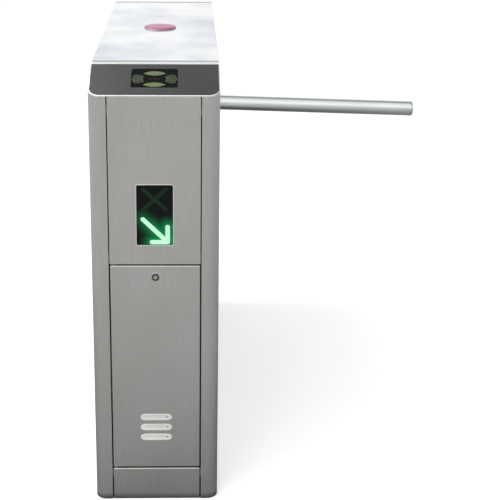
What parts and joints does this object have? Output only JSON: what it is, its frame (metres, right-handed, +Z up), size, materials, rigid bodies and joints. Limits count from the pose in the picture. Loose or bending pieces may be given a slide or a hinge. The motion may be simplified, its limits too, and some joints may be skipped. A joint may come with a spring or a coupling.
{
  "type": "visitor counter turnstile",
  "caption": "Slim stainless turnstile cabinet with sloped ends, lit display windows, service doors and one motor-driven arm that drops into its side.",
  "frame": {"origin": "on the floor under the middle of the cabinet's footprint", "axes": "+Z up, +X towards the lane that the arm closes, -Y the front end with the lit arrow; the cabinet's long side runs along Y"},
  "size_m": [0.7991, 1.203, 1.0062],
  "materials": {
    "brushed_stainless": "brushed stainless sheet, grain upright on the ends",
    "polished_stainless": "finely polished stainless sheet",
    "dark_slope": "dark grey satin coating",
    "display_glass": "smoked acrylic, gloss",
    "reader_glass": "black acrylic, gloss",
    "black_plastic": "moulded, matte",
    "grey_bezel": "satin anodised",
    "red_lens": "translucent red acrylic",
    "lock_chrome": "plated",
    "machined_steel": "turned and milled",
    "arm_chrome": "polished stainless tube",
    "grey_paint": "powder coated, fine texture",
    "rubber": "moulded",
    "brass": "machined",
    "motor_black": "semi-gloss",
    "aluminium_case": "punched sheet case",
    "circuit_board": "green solder mask",
    "white_plastic": "moulded",
    "led_green": "lit green indicator segments",
    "led_red": "lit red indicator segments"
  },
  "bodies": {
    "cabinet": {"side_panel_left": "brushed_stainless", "side_panel_right": "brushed_stainless", "upper_panel_front": "brushed_stainless", "plinth_panel_front": "brushed_stainless", "upper_panel_rear": "brushed_stainless", "plinth_panel_rear": "brushed_stainless", "header_strip_front": "polished_stainless", "header_strip_rear": "polished_stainless", "slope_cover_front": "dark_slope", "slope_cover_rear": "dark_slope", "display_window_front": "display_glass", "display_window_rear": "display_glass", "reader_window_front": "reader_glass", "reader_window_rear": "reader_glass", "display_module_front": "black_plastic", "display_module_rear": "black_plastic", "reader_module_front": "black_plastic", "reader_module_rear": "black_plastic", "encoder_sensor": "black_plastic", "hinge_rod_front": "machined_steel", "hinge_rod_rear": "machined_steel", "lid_hinge_pin": "machined_steel", "bearing_front": "machined_steel", "bearing_rear": "machined_steel", "base_plate": "grey_paint", "end_frame_front": "grey_paint", "end_frame_rear": "grey_paint", "arm_channel": "grey_paint", "mechanism_shelf": "grey_paint", "bearing_plate_front": "grey_paint", "bearing_plate_rear": "grey_paint", "motor_bracket": "grey_paint", "stop_bracket": "grey_paint", "equipment_tray": "grey_paint", "cable_gland": "rubber", "stop_buffer_raised": "rubber", "stop_buffer_lowered": "rubber", "gearmotor": "motor_black", "brake_body": "motor_black", "power_supply": "aluminium_case", "control_board": "circuit_board", "counter_module": "white_plastic"},
    "lid": {"lid": "polished_stainless", "status_bezel": "grey_bezel", "status_lens": "red_lens"},
    "door_front": {"door_front": "brushed_stainless", "lock_barrel_front": "lock_chrome"},
    "door_rear": {"door_rear": "brushed_stainless", "lock_barrel_rear": "lock_chrome"},
    "lock_front": {"lock_plug_front": "machined_steel"},
    "lock_rear": {"lock_plug_rear": "machined_steel"},
    "arm": {"arm_hub": "machined_steel", "arm_tube": "arm_chrome", "arm_end_cap": "arm_chrome", "drive_shaft": "machined_steel", "drive_gear": "machined_steel", "stop_lever": "machined_steel", "brake_rotor": "machined_steel", "encoder_disc": "white_plastic"},
    "pinion": {"drive_pinion": "brass"}
  },
  "joints": [
    {"name": "arm_drop", "type": "hinge", "parent": "cabinet", "child": "arm", "pos_m": [0.1, 0, 0.8068], "axis": [0, 1, 0], "range_deg": [0, 88.28]},
    {"name": "pinion_spin", "type": "hinge", "parent": "cabinet", "child": "pinion", "pos_m": [0.052, -0.058, 0.8068], "axis": [0, 1, 0], "range_deg": [-180, 2]},
    {"name": "lid_hinge", "type": "hinge", "parent": "cabinet", "child": "lid", "pos_m": [-0.139, 0, 0.98985], "axis": [0, -1, 0], "range_deg": [0, 85]},
    {"name": "door_front_hinge", "type": "hinge", "parent": "cabinet", "child": "door_front", "pos_m": [-0.093, -0.5927, 0.3287], "axis": [0, 0, -1], "range_deg": [0, 95]},
    {"name": "door_rear_hinge", "type": "hinge", "parent": "cabinet", "child": "door_rear", "pos_m": [0.093, 0.5927, 0.3287], "axis": [0, 0, -1], "range_deg": [0, 95]},
    {"name": "lock_front_turn", "type": "hinge", "parent": "door_front", "child": "lock_front", "pos_m": [0, -0.6, 0.5495], "axis": [0, -1, 0], "range_deg": [0, 90]},
    {"name": "lock_rear_turn", "type": "hinge", "parent": "door_rear", "child": "lock_rear", "pos_m": [0, 0.6, 0.5495], "axis": [0, 1, 0], "range_deg": [0, 90]}
  ],
  "couplings": [
    {"joint": "pinion_spin", "follows": "arm_drop", "ratio": -2}
  ]
}
